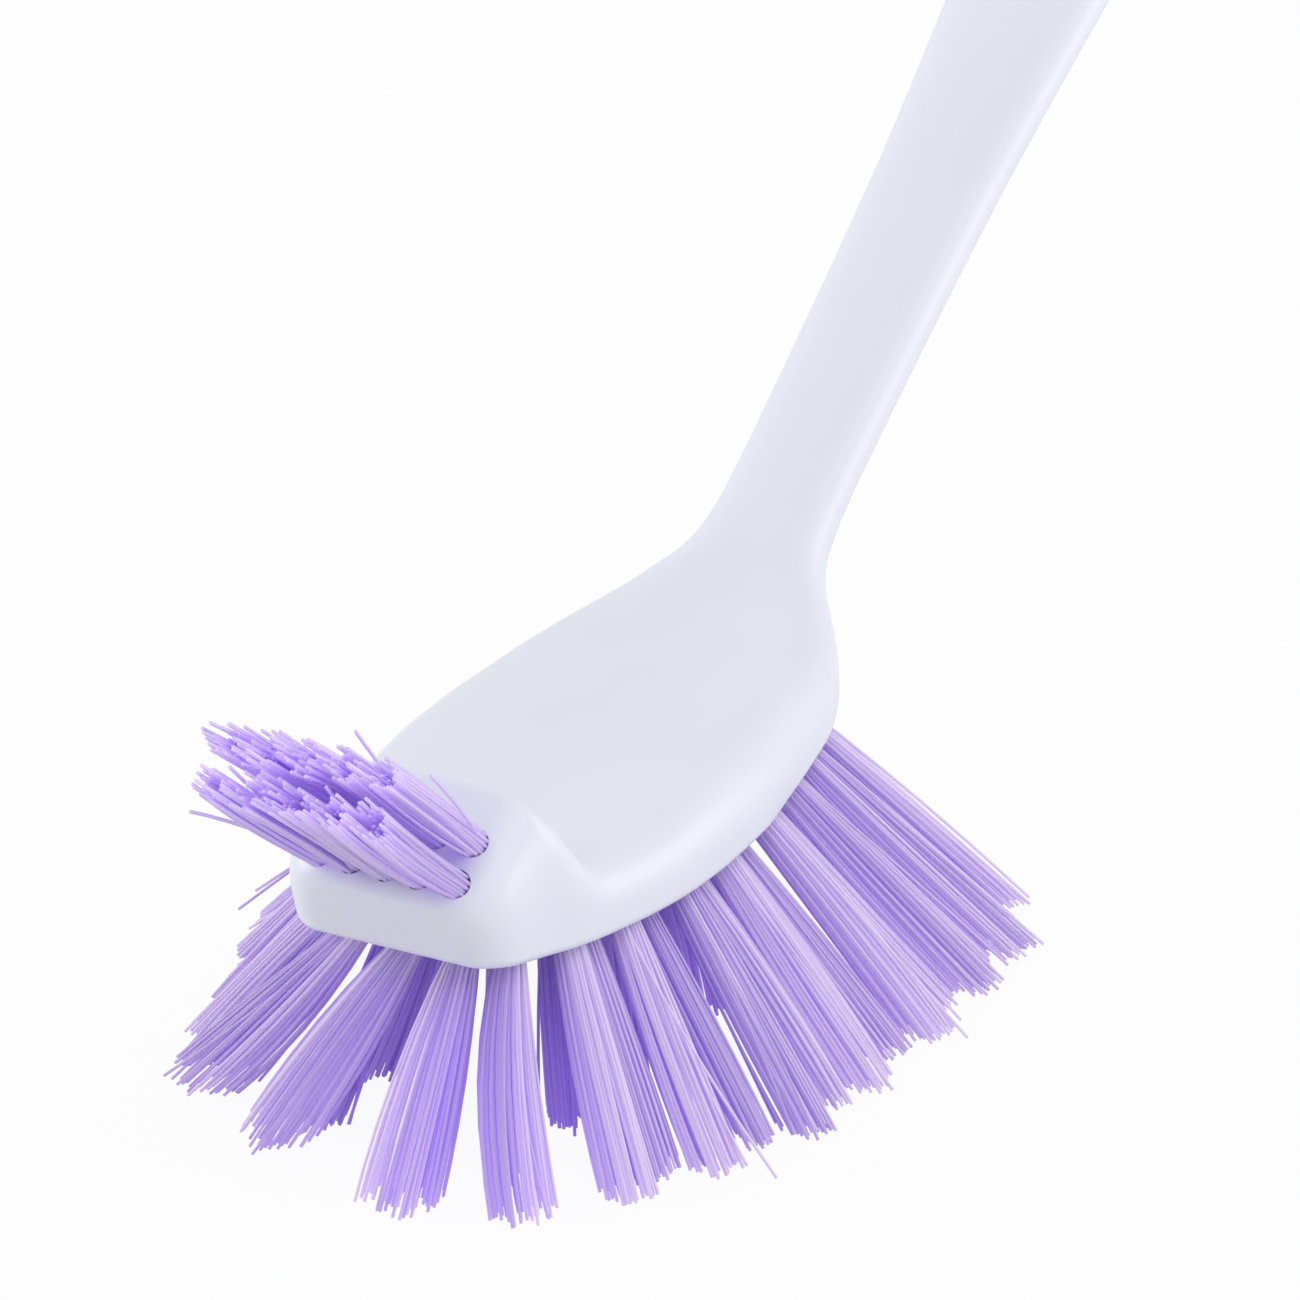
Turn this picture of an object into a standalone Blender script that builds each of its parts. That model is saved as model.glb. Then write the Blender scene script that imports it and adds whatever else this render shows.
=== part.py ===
"""Dish brush: a one-piece moulded head and handle, planted with separate bristle tufts.

The brush stands on its trimmed bristle tips at z = 0. The nose points to -X, the handle rises to +X.
"""
import math
import random

import bmesh
import bpy
from mathutils import Vector

MM = 0.001

# Head, measured from the foot of the nose wall
NECK_REACH = 118 * MM
HEAD_HALF_WIDTH = 25.2 * MM
SOLE_RISE = 27.6 * MM
EDGE_RADIUS = 1.3 * MM
RIM_HEIGHT = 11.9 * MM
DISH_DEPTH = 4.2 * MM
DISH_WIDTH_SHARE = 0.86
ROUND_CORNER_SHARE = 0.75

# Nose, with its sloping face for the upper tufts
NOSE_CORNER = 5 * MM
NOSE_WALL_HEIGHT = 10 * MM
NOSE_LEAN_SHARE = 0.33
NOSE_LEAN_REACH = 12 * MM
NOSE_FLARE_SHARE = 0.0875
FACE_SLOPE = math.radians(36)
BOSS_CREST = 10.8 * MM
BOSS_TAIL = 21 * MM
BOSS_DISH = 4.6 * MM

# Handle, a straight bar that rises from the neck
HANDLE_ANGLE = math.radians(31.4)
HANDLE_LENGTH = 140 * MM
NECK_HALF_WIDTH = 8.6 * MM
GRIP_HALF_WIDTH = 12.5 * MM
HANDLE_TOP = 4.4 * MM
HANDLE_BOTTOM = 4.4 * MM
HANDLE_END_ROUND = 13 * MM
HANG_HOLE_LENGTH = 14 * MM
HANG_HOLE_WIDTH = 8 * MM
HANG_HOLE_INSET = 17 * MM
HANG_HOLE_SIDES = 8
WELD = 0.1 * MM
SHARP_ANGLE = math.radians(40)

# Bristle tufts and the holes that hold them
HOLE_RADIUS = 2.0 * MM
HOLE_WALL = 0.75 * MM
HOLE_DEPTH = 4.8 * MM
HOLE_SIDES = 8
CLEARANCE = 0.3 * MM
ROOT_RECESS = 1.2 * MM
ANCHOR_LENGTH = 3.2 * MM
ANCHOR_WIDTH = 1.5 * MM
ANCHOR_THICKNESS = 0.4 * MM
STRAND_RADIUS = 0.42 * MM
STRAND_SIDES = 3
RING_STRANDS = 7
STRAND_RING_RADIUS = 1.15 * MM
RAGGED = 1.4 * MM
TRIM = 0.5 * MM
CUT_OVERRUN = 3 * MM
STEEP_SHARE = 0.5

# Lower bristle field: an outer ring, an inner row staggered behind its sides, and two middle rows
OUTER_INSET = 5.0 * MM
OUTER_START = 6.0 * MM
OUTER_END = 92 * MM
OUTER_ROUND = 12 * MM
OUTER_PLACE_SHARES = (0.069, 0.134, 0.223, 0.312, 0.422, 0.517, 0.631, 0.715, 0.790, 0.866, 0.952)
INNER_FROM = 3
INNER_TUFTS = 7
INNER_ROW_GAP = 3.2 * MM
INNER_TIP_GAP = 2.5 * MM
INNER_TIP_SPACING = 7.2 * MM
MIDDLE_TUFTS = 6
MIDDLE_HALF_GAP = 7 * MM
ROW_GAP_FRONT = 11 * MM
ROW_GAP_REAR = 11 * MM
MIDDLE_START = OUTER_START + ROW_GAP_FRONT
MIDDLE_END = OUTER_END - ROW_GAP_REAR
LOWER_SPREAD_SHARE = 2.2
LINE_STEPS = 400

# Upper tufts on the nose face
NOSE_COLUMNS = 5
NOSE_PITCH = 2 * HOLE_RADIUS + HOLE_WALL
NOSE_FRONT_ROW = -0.5 * MM
NOSE_REAR_ROW = 4.3 * MM
NOSE_TUFT_LENGTH = 29.8 * MM
NOSE_TUFT_ANGLE = math.radians(40)
NOSE_FAN_SHARE = 1.17
UPPER_SPREAD_SHARE = 1.5

# Rise of the sole's line along the head: place along NECK_REACH, height as a share of NECK_REACH
SPINE_SHARES = (
    (0.0, 0.0257), (0.085, 0.012), (0.17, 0.0045), (0.32, 0.001), (0.44, 0.0), (0.55, 0.0035),
    (0.636, 0.0083), (0.695, 0.0145), (0.746, 0.0255), (0.797, 0.0455), (0.847, 0.0785),
    (0.898, 0.1205), (0.949, 0.1566), (1.0, 0.1905),
)

# Plan of the head: place along NECK_REACH, share of HEAD_HALF_WIDTH
PLAN_SHARES = (
    (0.0, 0.574), (0.042, 0.632), (0.085, 0.69), (0.127, 0.765), (0.186, 0.848), (0.254, 0.932),
    (0.322, 0.982), (0.398, 1.0), (0.475, 0.995), (0.551, 0.956), (0.636, 0.905), (0.695, 0.866),
    (0.746, 0.799), (0.788, 0.709), (0.822, 0.612), (0.847, 0.528), (0.869, 0.448), (0.890, 0.393),
    (0.915, 0.362), (0.949, 0.346), (1.0, 0.3413),
)

# Plan of the handle: place along HANDLE_LENGTH, share of the way from neck width to grip width
GRIP_SHARES = (
    (0.0, 0.0), (0.10, 0.035), (0.19, 0.08), (0.27, 0.145), (0.35, 0.22), (0.40, 0.29), (0.44, 0.37),
    (0.49, 0.475), (0.55, 0.61), (0.61, 0.76), (0.68, 0.91), (0.75, 1.0), (0.83, 0.92), (0.90, 0.70),
    (0.95, 0.56), (1.0, 0.5),
)

# Rim height along the head behind the boss: place along NECK_REACH, share of RIM_HEIGHT
RIM_SHARES = (
    (0.0, 0.82), (0.20, 0.80), (0.26, 0.84), (0.33, 0.93), (0.42, 1.0), (0.60, 0.985), (0.70, 0.872),
    (0.78, 0.712), (0.86, 0.539), (0.93, 0.41), (1.0, 0.37),
)
# Dish along the head behind the boss: place along NECK_REACH, share of DISH_DEPTH
DISH_SHARES = (
    (0.0, 1.4), (0.22, 1.3), (0.30, 1.08), (0.40, 1.0), (0.62, 1.0), (0.72, 0.8), (0.80, 0.45),
    (0.86, 0.15), (0.91, 0.0), (1.0, 0.0),
)
# Underside: place along NECK_REACH, share of the way from the flat sole to the round handle
ROUND_UNDER_SHARES = (
    (0.0, 0.0), (0.70, 0.0), (0.76, 0.10), (0.82, 0.35), (0.88, 0.68), (0.94, 0.92), (1.0, 1.0),
)
# How square the upper half of a section is: place along NECK_REACH, superellipse power
SQUARE_SHARES = ((0.0, 4.2), (0.08, 4.0), (0.16, 3.8), (0.26, 3.6), (0.75, 3.4), (0.9, 2.8), (1.0, 2.6))

# Places along the width of a section, from its edge to its middle
SECTION_SHARES = (1.0, 0.997, 0.985, 0.96, 0.92, 0.86, 0.77, 0.65, 0.5, 0.33, 0.16, 0.0)
FLAT_SHARES = (0.0, 0.5)
CORNER_STEPS = 4

# Lengthwise lean of the tufts: root's place along NECK_REACH, lean as a share of SOLE_RISE
LEAN_SHARES = (
    (0.05, -0.49), (0.10, -0.43), (0.16, -0.42), (0.24, -0.36), (0.34, -0.26), (0.42, -0.12), (0.53, 0.03),
    (0.605, 0.20), (0.67, 0.33), (0.73, 0.52), (0.78, 0.72),
)
# Sideways splay of the tufts: root's place along NECK_REACH, share of the root's own distance aside
SPLAY_SHARES = (
    (0.05, 0.50), (0.08, 0.64), (0.16, 0.97), (0.24, 1.05), (0.33, 1.19), (0.42, 1.20), (0.51, 1.32),
    (0.60, 1.47), (0.67, 1.60), (0.73, 1.90), (0.79, 2.0),
)

# Bend of the tufts round the left front corner, backwards and then aside: way round the outer ring from
# the nose's middle along NECK_REACH, bend as a share of SOLE_RISE
BEND_BACK_SHARES = (
    (-0.064, 0.0), (0.0, 0.29), (0.064, 0.60), (0.13, 0.65), (0.236, 0.50), (0.336, 0.42), (0.454, 0.30),
    (0.54, 0.18), (0.65, 0.06), (0.75, 0.0),
)
BEND_ASIDE_SHARES = (
    (-0.13, 0.0), (-0.064, 0.20), (0.0, 0.64), (0.064, 0.76), (0.13, 0.68), (0.236, 0.46), (0.336, 0.28),
    (0.454, 0.14), (0.54, 0.07), (0.65, 0.0),
)

# Places of the sections along the head and along the handle
NOSE_ARC_STEPS = 6
HEAD_STATION_SHARES = (
    0.055, 0.068, 0.080, 0.091, 0.101, 0.114, 0.128, 0.144, 0.161, 0.182, 0.207, 0.237, 0.271, 0.314,
    0.36, 0.41, 0.46, 0.51, 0.56, 0.60, 0.64, 0.68, 0.715, 0.745, 0.772, 0.797, 0.822, 0.843, 0.864,
    0.885, 0.907, 0.932, 0.965,
)
HANDLE_STATION_SHARES = (0.0, 0.06, 0.13, 0.21, 0.30, 0.38, 0.45, 0.51, 0.57, 0.64, 0.71, 0.78, 0.84)
END_ARC_STEPS = 6
END_FLAT_SHARE = 0.12

BODY_COLOUR = (0.74, 0.76, 0.83, 1.0)
BODY_ROUGHNESS = 0.34
BRISTLE_COLOUR = (0.37, 0.26, 0.70, 1.0)
BRISTLE_ROUGHNESS = 0.42


def smooth(table, place):
    """Cubic curve through a table of (place, value), held level past its ends."""
    if place <= table[0][0]:
        return table[0][1]
    if place >= table[-1][0]:
        return table[-1][1]
    slopes = [slope_at(table, i) for i in range(len(table))]
    for i in range(len(table) - 1):
        (x0, y0), (x1, y1) = table[i], table[i + 1]
        if place <= x1:
            break
    span = x1 - x0
    t = (place - x0) / span
    rise = t * t * (3 - 2 * t)
    return (y0 + (y1 - y0) * rise
            + span * slopes[i] * (t ** 3 - 2 * t * t + t)
            + span * slopes[i + 1] * (t ** 3 - t * t))


def slope_at(table, i):
    """Slope at one point of a table; level at a peak, a dip or an end."""
    if i == 0 or i == len(table) - 1:
        j = min(i, len(table) - 2)
        return (table[j + 1][1] - table[j][1]) / (table[j + 1][0] - table[j][0])
    before = (table[i][1] - table[i - 1][1]) / (table[i][0] - table[i - 1][0])
    after = (table[i + 1][1] - table[i][1]) / (table[i + 1][0] - table[i][0])
    if before * after <= 0:
        return 0.0
    return 2 * before * after / (before + after)


def spine_height(x):
    """Height of the line where a section is widest, just above the sole."""
    return SOLE_RISE + EDGE_RADIUS + NECK_REACH * smooth(SPINE_SHARES, x / NECK_REACH)


def half_width(x):
    """Half width of the head in plan, with its rounded nose corners."""
    width = HEAD_HALF_WIDTH * smooth(PLAN_SHARES, x / NECK_REACH)
    if x < NOSE_CORNER:
        width += math.sqrt(NOSE_CORNER ** 2 - (NOSE_CORNER - x) ** 2) - NOSE_CORNER
    return width


def lean_factor(x):
    """How much of the nose wall's forward lean a section at x takes."""
    left = max(0.0, 1 - x / NOSE_LEAN_REACH)
    return NOSE_LEAN_SHARE * left * left


def face_height(x):
    """Height of the sloping nose face above the foot of the wall, for the section at x."""
    rise = math.tan(FACE_SLOPE)
    lean = lean_factor(x)
    wall_top = NOSE_WALL_HEIGHT + rise * NOSE_LEAN_SHARE * NOSE_WALL_HEIGHT
    return (wall_top + rise * x) / (1 + rise * lean)


def top_height(x):
    """Height of a section's rim above the spine: the boss at the nose, then the rim of the dish."""
    rim = RIM_HEIGHT * smooth(RIM_SHARES, x / NECK_REACH)
    foot = spine_height(0.0) - EDGE_RADIUS
    face = foot + face_height(min(x, BOSS_CREST)) - spine_height(min(x, BOSS_CREST))
    if x <= BOSS_CREST:
        return face - nose_edge_round(x)
    if x >= BOSS_TAIL:
        return rim
    t = (x - BOSS_CREST) / (BOSS_TAIL - BOSS_CREST)
    fall = (1 - t) ** 2 * (1 + 2 * t)
    return rim + (face - rim) * fall


def dish_depth(x):
    """Depth of the dish below the rim at the middle of a section."""
    depth = DISH_DEPTH * smooth(DISH_SHARES, x / NECK_REACH)
    if x <= BOSS_CREST:
        return 0.0
    t = min(1.0, (x - BOSS_CREST) / (BOSS_TAIL - BOSS_CREST))
    grown = t * t * (3 - 2 * t)
    return depth * grown + BOSS_DISH * math.sin(math.pi * t) ** 2


def nose_edge_round(x):
    """Drop that rounds the top and foot edges of the nose wall."""
    if x >= EDGE_RADIUS:
        return 0.0
    return EDGE_RADIUS - math.sqrt(EDGE_RADIUS ** 2 - (EDGE_RADIUS - x) ** 2)


def section(half, top, under, corner, power, dish):
    """Half outline of a section as (across, up) points, from the middle of its underside to its top."""
    points = [(share * (half - corner), -under) for share in FLAT_SHARES]
    for step in range(CORNER_STEPS):
        angle = math.pi / 2 * step / CORNER_STEPS
        points.append((half - corner + corner * math.sin(angle), -under * math.cos(angle)))
    for share in SECTION_SHARES:
        up = top * (1 - share ** power) ** (1 / power)
        inner = share / DISH_WIDTH_SHARE
        if inner < 1:
            up -= dish * (1 - inner * inner) ** 2
        points.append((share * half, up))
    return points


def head_section(x):
    """Section of the head at x, as points in space."""
    place = x / NECK_REACH
    round_under = smooth(ROUND_UNDER_SHARES, place)
    half = half_width(x)
    under = EDGE_RADIUS + (HANDLE_BOTTOM - EDGE_RADIUS) * round_under - nose_edge_round(x)
    corner = EDGE_RADIUS + (ROUND_CORNER_SHARE * half - EDGE_RADIUS) * round_under
    outline = section(half, top_height(x), under, corner, smooth(SQUARE_SHARES, place), dish_depth(x))
    step = EDGE_RADIUS
    tilt = math.atan2(spine_height(x + step) - spine_height(x - step), 2 * step)
    tilt *= round_under
    centre = Vector((x, 0.0, spine_height(x)))
    foot = spine_height(0.0) - EDGE_RADIUS
    points = []
    for across, up in outline:
        point = centre + Vector((-math.sin(tilt) * up, across, math.cos(tilt) * up))
        rise = point.z - foot
        point.x -= lean_factor(x) * rise
        flare = NOSE_FLARE_SHARE * lean_factor(x) / NOSE_LEAN_SHARE
        point.y *= 1 + flare * rise / NOSE_WALL_HEIGHT
        points.append(point)
    return points


def handle_point(distance):
    """Point of the handle's spine at a distance from the neck."""
    return Vector((NECK_REACH + math.cos(HANDLE_ANGLE) * distance, 0.0,
                   spine_height(NECK_REACH) + math.sin(HANDLE_ANGLE) * distance))


def handle_section(distance, size=1.0):
    """Section of the handle square to its spine."""
    way = smooth(GRIP_SHARES, distance / HANDLE_LENGTH)
    half = NECK_HALF_WIDTH + (GRIP_HALF_WIDTH - NECK_HALF_WIDTH) * way
    power = SQUARE_SHARES[-1][1]
    corner = ROUND_CORNER_SHARE * half
    outline = section(half * size, HANDLE_TOP * size, HANDLE_BOTTOM * size, corner * size, power, 0.0)
    centre = handle_point(distance)
    up_direction = Vector((-math.sin(HANDLE_ANGLE), 0.0, math.cos(HANDLE_ANGLE)))
    return [centre + Vector((0.0, across, 0.0)) + up_direction * up for across, up in outline]


def loft(name, rings, collection, material):
    """Closed solid through rings of equal point counts, with flat ends."""
    mesh = bpy.data.meshes.new(name)
    form = bmesh.new()
    rows = [[form.verts.new(point) for point in ring] for ring in rings]
    count = len(rings[0])
    for row, after in zip(rows, rows[1:]):
        for i in range(count):
            j = (i + 1) % count
            form.faces.new((row[i], row[j], after[j], after[i]))
    form.faces.new(list(reversed(rows[0])))
    form.faces.new(rows[-1])
    bmesh.ops.recalc_face_normals(form, faces=form.faces)
    form.to_mesh(mesh)
    form.free()
    mesh.shade_smooth()
    mesh.set_sharp_from_angle(angle=SHARP_ANGLE)
    mesh.materials.append(material)
    thing = bpy.data.objects.new(name, mesh)
    collection.objects.link(thing)
    return thing


def whole_ring(half_points):
    """Ring from a half outline and its mirror image across the middle plane."""
    mirrored = [Vector((p.x, -p.y, p.z)) for p in reversed(half_points[1:-1])]
    return half_points + mirrored


def body_rings():
    rings = []
    for step in range(NOSE_ARC_STEPS + 1):
        angle = math.pi / 2 * step / NOSE_ARC_STEPS
        rings.append(whole_ring(head_section(NOSE_CORNER * (1 - math.cos(angle)))))
    for share in HEAD_STATION_SHARES:
        rings.append(whole_ring(head_section(NECK_REACH * share)))
    for share in HANDLE_STATION_SHARES:
        rings.append(whole_ring(handle_section(HANDLE_LENGTH * share)))
    start = HANDLE_LENGTH - HANDLE_END_ROUND
    for step in range(END_ARC_STEPS + 1):
        angle = math.acos(END_FLAT_SHARE) * step / END_ARC_STEPS
        distance = start + HANDLE_END_ROUND * math.sin(angle)
        rings.append(whole_ring(handle_section(distance, math.cos(angle))))
    return rings


def tilted(direction, centre):
    """Matrix that turns +Z to a direction and moves the origin to a centre."""
    matrix = direction.to_track_quat("Z", "Y").to_matrix().to_4x4()
    matrix.translation = centre
    return matrix


def rod(form, start, end, radius, sides):
    """Straight prism between two points, added to a bmesh."""
    along = end - start
    matrix = tilted(along.normalized(), (start + end) / 2)
    bmesh.ops.create_cone(form, cap_ends=True, segments=sides, radius1=radius, radius2=radius,
                          depth=along.length, matrix=matrix)


def under_depth(x):
    """Depth of the underside below the spine."""
    return EDGE_RADIUS + (HANDLE_BOTTOM - EDGE_RADIUS) * smooth(ROUND_UNDER_SHARES, x / NECK_REACH)


def ring_width(x, inset, end, rounding):
    """Half width of a closed line of tufts at x, inset from the head's edge and rounded at the rear."""
    width = half_width(x) - inset
    close = end - rounding
    if x > close:
        width *= math.sqrt(max(0.0, 1 - ((x - close) / rounding) ** 2))
    return width


def ring_places(inset, start, end, rounding, shares):
    """Places of one side's tufts, at shares of a line that runs from the nose's middle to the rear."""
    line = [Vector((start, 0.0))]
    for step in range(LINE_STEPS + 1):
        x = start + (end - start) * step / LINE_STEPS
        line.append(Vector((x, ring_width(x, inset, end, rounding))))
    lengths = [0.0]
    for a, b in zip(line, line[1:]):
        lengths.append(lengths[-1] + (b - a).length)
    places = []
    for share in shares:
        wanted = lengths[-1] * share
        i = next(i for i in range(1, len(line)) if lengths[i] >= wanted)
        t = (wanted - lengths[i - 1]) / (lengths[i] - lengths[i - 1])
        places.append(line[i - 1].lerp(line[i], t))
    return places


def on_sole(x, y):
    """Point of the head's underside at a place in plan."""
    return Vector((x, y, spine_height(x) - under_depth(x)))


def splayed_tip(x, y):
    """Trimmed tip of the tuft that is rooted at a place in plan."""
    place = x / NECK_REACH
    return Vector((x + SOLE_RISE * smooth(LEAN_SHARES, place), y * (1 + smooth(SPLAY_SHARES, place)), 0.0))


def outer_tuft(x, y):
    """Root and tip of a tuft of the outer ring, bent if it stands round the left front corner."""
    way_round = math.copysign(abs(y) + x - OUTER_START, y) / NECK_REACH
    bend = Vector((smooth(BEND_BACK_SHARES, way_round), smooth(BEND_ASIDE_SHARES, way_round), 0.0))
    return on_sole(x, y), splayed_tip(x, y) + SOLE_RISE * bend


def behind(a, b, least, spacing, side):
    """Point beside the middle of a and b in plan: at least this far off, and spaced from both."""
    along = (b - a).to_2d()
    half = along.length / 2
    offset = math.sqrt(max(least ** 2, spacing ** 2 - half ** 2))
    across = Vector((along.y, -along.x, 0.0)).normalized()
    if across.dot(side) < 0:
        across.negate()
    return (a + b) / 2 + across * offset


def inner_row(outer):
    """Root and tip of the tufts that stand behind the gaps of one side of the outer ring."""
    tufts = []
    front = outer[INNER_FROM - 1:INNER_FROM - 1 + INNER_TUFTS]
    rear = outer[INNER_FROM:INNER_FROM + INNER_TUFTS]
    for (root_a, tip_a), (root_b, tip_b) in zip(front, rear):
        inwards = Vector((0.0, -root_a.y, 0.0))
        place = behind(root_a, root_b, INNER_ROW_GAP, 0.0, inwards)
        tip = behind(tip_a, tip_b, INNER_TIP_GAP, INNER_TIP_SPACING, inwards)
        tufts.append((on_sole(place.x, place.y), tip))
    return tufts


def lower_tufts():
    """Name, root on the sole and trimmed tip of every tuft under the head."""
    tufts = [("tuft_outer_front", *outer_tuft(OUTER_START, 0.0))]
    places = ring_places(OUTER_INSET, OUTER_START, OUTER_END, OUTER_ROUND, OUTER_PLACE_SHARES)
    for side, sign in (("left", 1), ("right", -1)):
        outer = [outer_tuft(p.x, sign * p.y) for p in places]
        middle = []
        for number in range(MIDDLE_TUFTS):
            x = MIDDLE_START + (MIDDLE_END - MIDDLE_START) * number / (MIDDLE_TUFTS - 1)
            y = sign * MIDDLE_HALF_GAP
            middle.append((on_sole(x, y), splayed_tip(x, y)))
        for row, members in (("outer", outer), ("inner", inner_row(outer)), ("middle", middle)):
            for number, (root, tip) in enumerate(members, start=1):
                tufts.append((f"tuft_{row}_{side}_{number:02d}", root, tip))
    return tufts


def upper_tufts():
    """Name, root on the nose face and tip of every upper tuft."""
    tufts = []
    foot = spine_height(0.0) - EDGE_RADIUS
    for row, x in (("front", NOSE_FRONT_ROW), ("rear", NOSE_REAR_ROW)):
        rise = math.tan(FACE_SLOPE) * (x + NOSE_LEAN_SHARE * NOSE_WALL_HEIGHT)
        for number in range(NOSE_COLUMNS):
            y = NOSE_PITCH * (number - (NOSE_COLUMNS - 1) / 2)
            root = Vector((x, y, foot + NOSE_WALL_HEIGHT + rise))
            reach = Vector((-math.cos(NOSE_TUFT_ANGLE), 0.0, math.sin(NOSE_TUFT_ANGLE)))
            tip = root + reach * NOSE_TUFT_LENGTH
            tip.y *= NOSE_FAN_SHARE
            tufts.append((f"tuft_nose_{row}_{number + 1}", root, tip))
    return tufts


def solid(name, form, collection, material=None):
    """Object from a bmesh, which it frees."""
    mesh = bpy.data.meshes.new(name)
    bmesh.ops.recalc_face_normals(form, faces=form.faces)
    form.to_mesh(mesh)
    form.free()
    if material:
        mesh.materials.append(material)
    thing = bpy.data.objects.new(name, mesh)
    collection.objects.link(thing)
    return thing


def hide_cutter(thing):
    thing.hide_render = True
    thing.display_type = "WIRE"


def join(base, others):
    """Fuse other solids into a base solid and remove them."""
    for other in others:
        union = base.modifiers.new("fuse_" + other.name, "BOOLEAN")
        union.operation = "UNION"
        union.solver = "EXACT"
        union.object = other
    graph = bpy.context.evaluated_depsgraph_get()
    fused = bpy.data.meshes.new_from_object(base.evaluated_get(graph))
    base.modifiers.clear()
    base.data = fused
    for other in others:
        bpy.data.objects.remove(other)


def tuft_frame(root, tip):
    """Outward axis of a tuft and two directions across it."""
    axis = (tip - root).normalized()
    across = axis.cross(Vector((1, 0, 0)))
    if across.length < STEEP_SHARE:
        across = axis.cross(Vector((0, 1, 0)))
    across.normalize()
    return axis, across, axis.cross(across)


def strands(root, tip, spread, trimmed, chance):
    """Bristle strands of one tuft: one in the middle and a ring round it, fanning out to the tip."""
    form = bmesh.new()
    axis, across, along = tuft_frame(root, tip)
    turn = chance.uniform(0, math.pi)
    seat = root - axis * (ROOT_RECESS + CLEARANCE)
    offsets = [Vector((0, 0, 0))]
    for k in range(RING_STRANDS):
        angle = turn + 2 * math.pi * k / RING_STRANDS
        offsets.append((across * math.cos(angle) + along * math.sin(angle)) * STRAND_RING_RADIUS)
    for offset in offsets:
        start = seat + offset
        end = tip + offset * spread
        short = RAGGED * chance.random() ** 2
        direction = end - start
        if trimmed:
            stop = short * chance.choice((0, 1)) - TRIM
            end = start + direction * ((stop - start.z) / direction.z)
        else:
            end = end - direction.normalized() * short
        rod(form, start, end, STRAND_RADIUS, STRAND_SIDES)
    if trimmed:
        trim_flat(form)
    return form


def trim_flat(form):
    """Cut strands flat at the plane that the brush stands on."""
    parts = form.verts[:] + form.edges[:] + form.faces[:]
    bmesh.ops.bisect_plane(form, geom=parts, plane_co=(0, 0, 0), plane_no=(0, 0, -1), clear_outer=True)
    rims = [edge for edge in form.edges if edge.is_boundary]
    bmesh.ops.holes_fill(form, edges=rims, sides=0)


def tuft(name, root, tip, spread, trimmed, collection, material):
    """One tuft: its folded root in the hole, the anchor strip driven through the fold, and its strands."""
    chance = random.Random(name)
    axis, across, along = tuft_frame(root, tip)
    deep_end = root - axis * (HOLE_DEPTH - CLEARANCE)
    plug_end = deep_end + axis * (ANCHOR_WIDTH / 2)
    plug_form = bmesh.new()
    rod(plug_form, plug_end, root - axis * ROOT_RECESS, HOLE_RADIUS - CLEARANCE, HOLE_SIDES)
    plug = solid(name, plug_form, collection, material)
    anchor_form = bmesh.new()
    bmesh.ops.create_cube(anchor_form, size=1.0)
    bmesh.ops.scale(anchor_form, vec=(ANCHOR_LENGTH, ANCHOR_THICKNESS, ANCHOR_WIDTH), verts=anchor_form.verts)
    bmesh.ops.transform(anchor_form, matrix=tilted(axis, plug_end), verts=anchor_form.verts)
    anchor = solid(name + "_anchor", anchor_form, collection)
    fibres = solid(name + "_strands", strands(root, tip, spread, trimmed, chance), collection)
    join(plug, [anchor, fibres])
    return plug


def hole_cutters(tufts, collection):
    """One cutter that holds the blind hole of every tuft."""
    form = bmesh.new()
    for _, root, tip in tufts:
        axis = (tip - root).normalized()
        rod(form, root - axis * HOLE_DEPTH, root + axis * CUT_OVERRUN, HOLE_RADIUS, HOLE_SIDES)
    cutter = solid("tuft_holes", form, collection)
    hide_cutter(cutter)
    return cutter


def hang_hole_cutter(collection):
    """Long hole with round ends, square to the handle."""
    middle = handle_point(HANDLE_LENGTH - HANG_HOLE_INSET)
    curve = bpy.data.curves.new("hang_hole", "CURVE")
    curve.dimensions = "2D"
    curve.fill_mode = "BOTH"
    curve.extrude = HANDLE_TOP + HANDLE_BOTTOM
    spline = curve.splines.new("POLY")
    radius = HANG_HOLE_WIDTH / 2
    straight = HANG_HOLE_LENGTH / 2 - radius
    outline = []
    for end in (1, -1):
        for step in range(HANG_HOLE_SIDES + 1):
            angle = math.pi * (step / HANG_HOLE_SIDES - 0.5)
            outline.append((end * (straight + radius * math.cos(angle)), end * radius * math.sin(angle)))
    spline.points.add(len(outline) - 1)
    for point, (u, v) in zip(spline.points, outline):
        point.co = (u, v, 0, 1)
    spline.use_cyclic_u = True
    drawn = bpy.data.objects.new("hang_hole_outline", curve)
    collection.objects.link(drawn)
    graph = bpy.context.evaluated_depsgraph_get()
    mesh = bpy.data.meshes.new_from_object(drawn.evaluated_get(graph))
    bpy.data.objects.remove(drawn)
    form = bmesh.new()
    form.from_mesh(mesh)
    bmesh.ops.remove_doubles(form, verts=form.verts, dist=WELD)
    cutter = solid("hang_hole", form, collection)
    cutter.rotation_euler = (0, -HANDLE_ANGLE, 0)
    cutter.location = middle
    hide_cutter(cutter)
    return cutter


def cut(thing, cutter):
    modifier = thing.modifiers.new("cut_" + cutter.name, "BOOLEAN")
    modifier.operation = "DIFFERENCE"
    modifier.solver = "EXACT"
    modifier.object = cutter


def plastic(name, colour, roughness):
    material = bpy.data.materials.new(name)
    material.use_nodes = True
    shader = material.node_tree.nodes["Principled BSDF"]
    shader.inputs["Base Color"].default_value = colour
    shader.inputs["Roughness"].default_value = roughness
    shader.inputs["Metallic"].default_value = 0.0
    return material


def new_collection(name):
    collection = bpy.data.collections.new(name)
    bpy.context.scene.collection.children.link(collection)
    return collection


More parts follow.
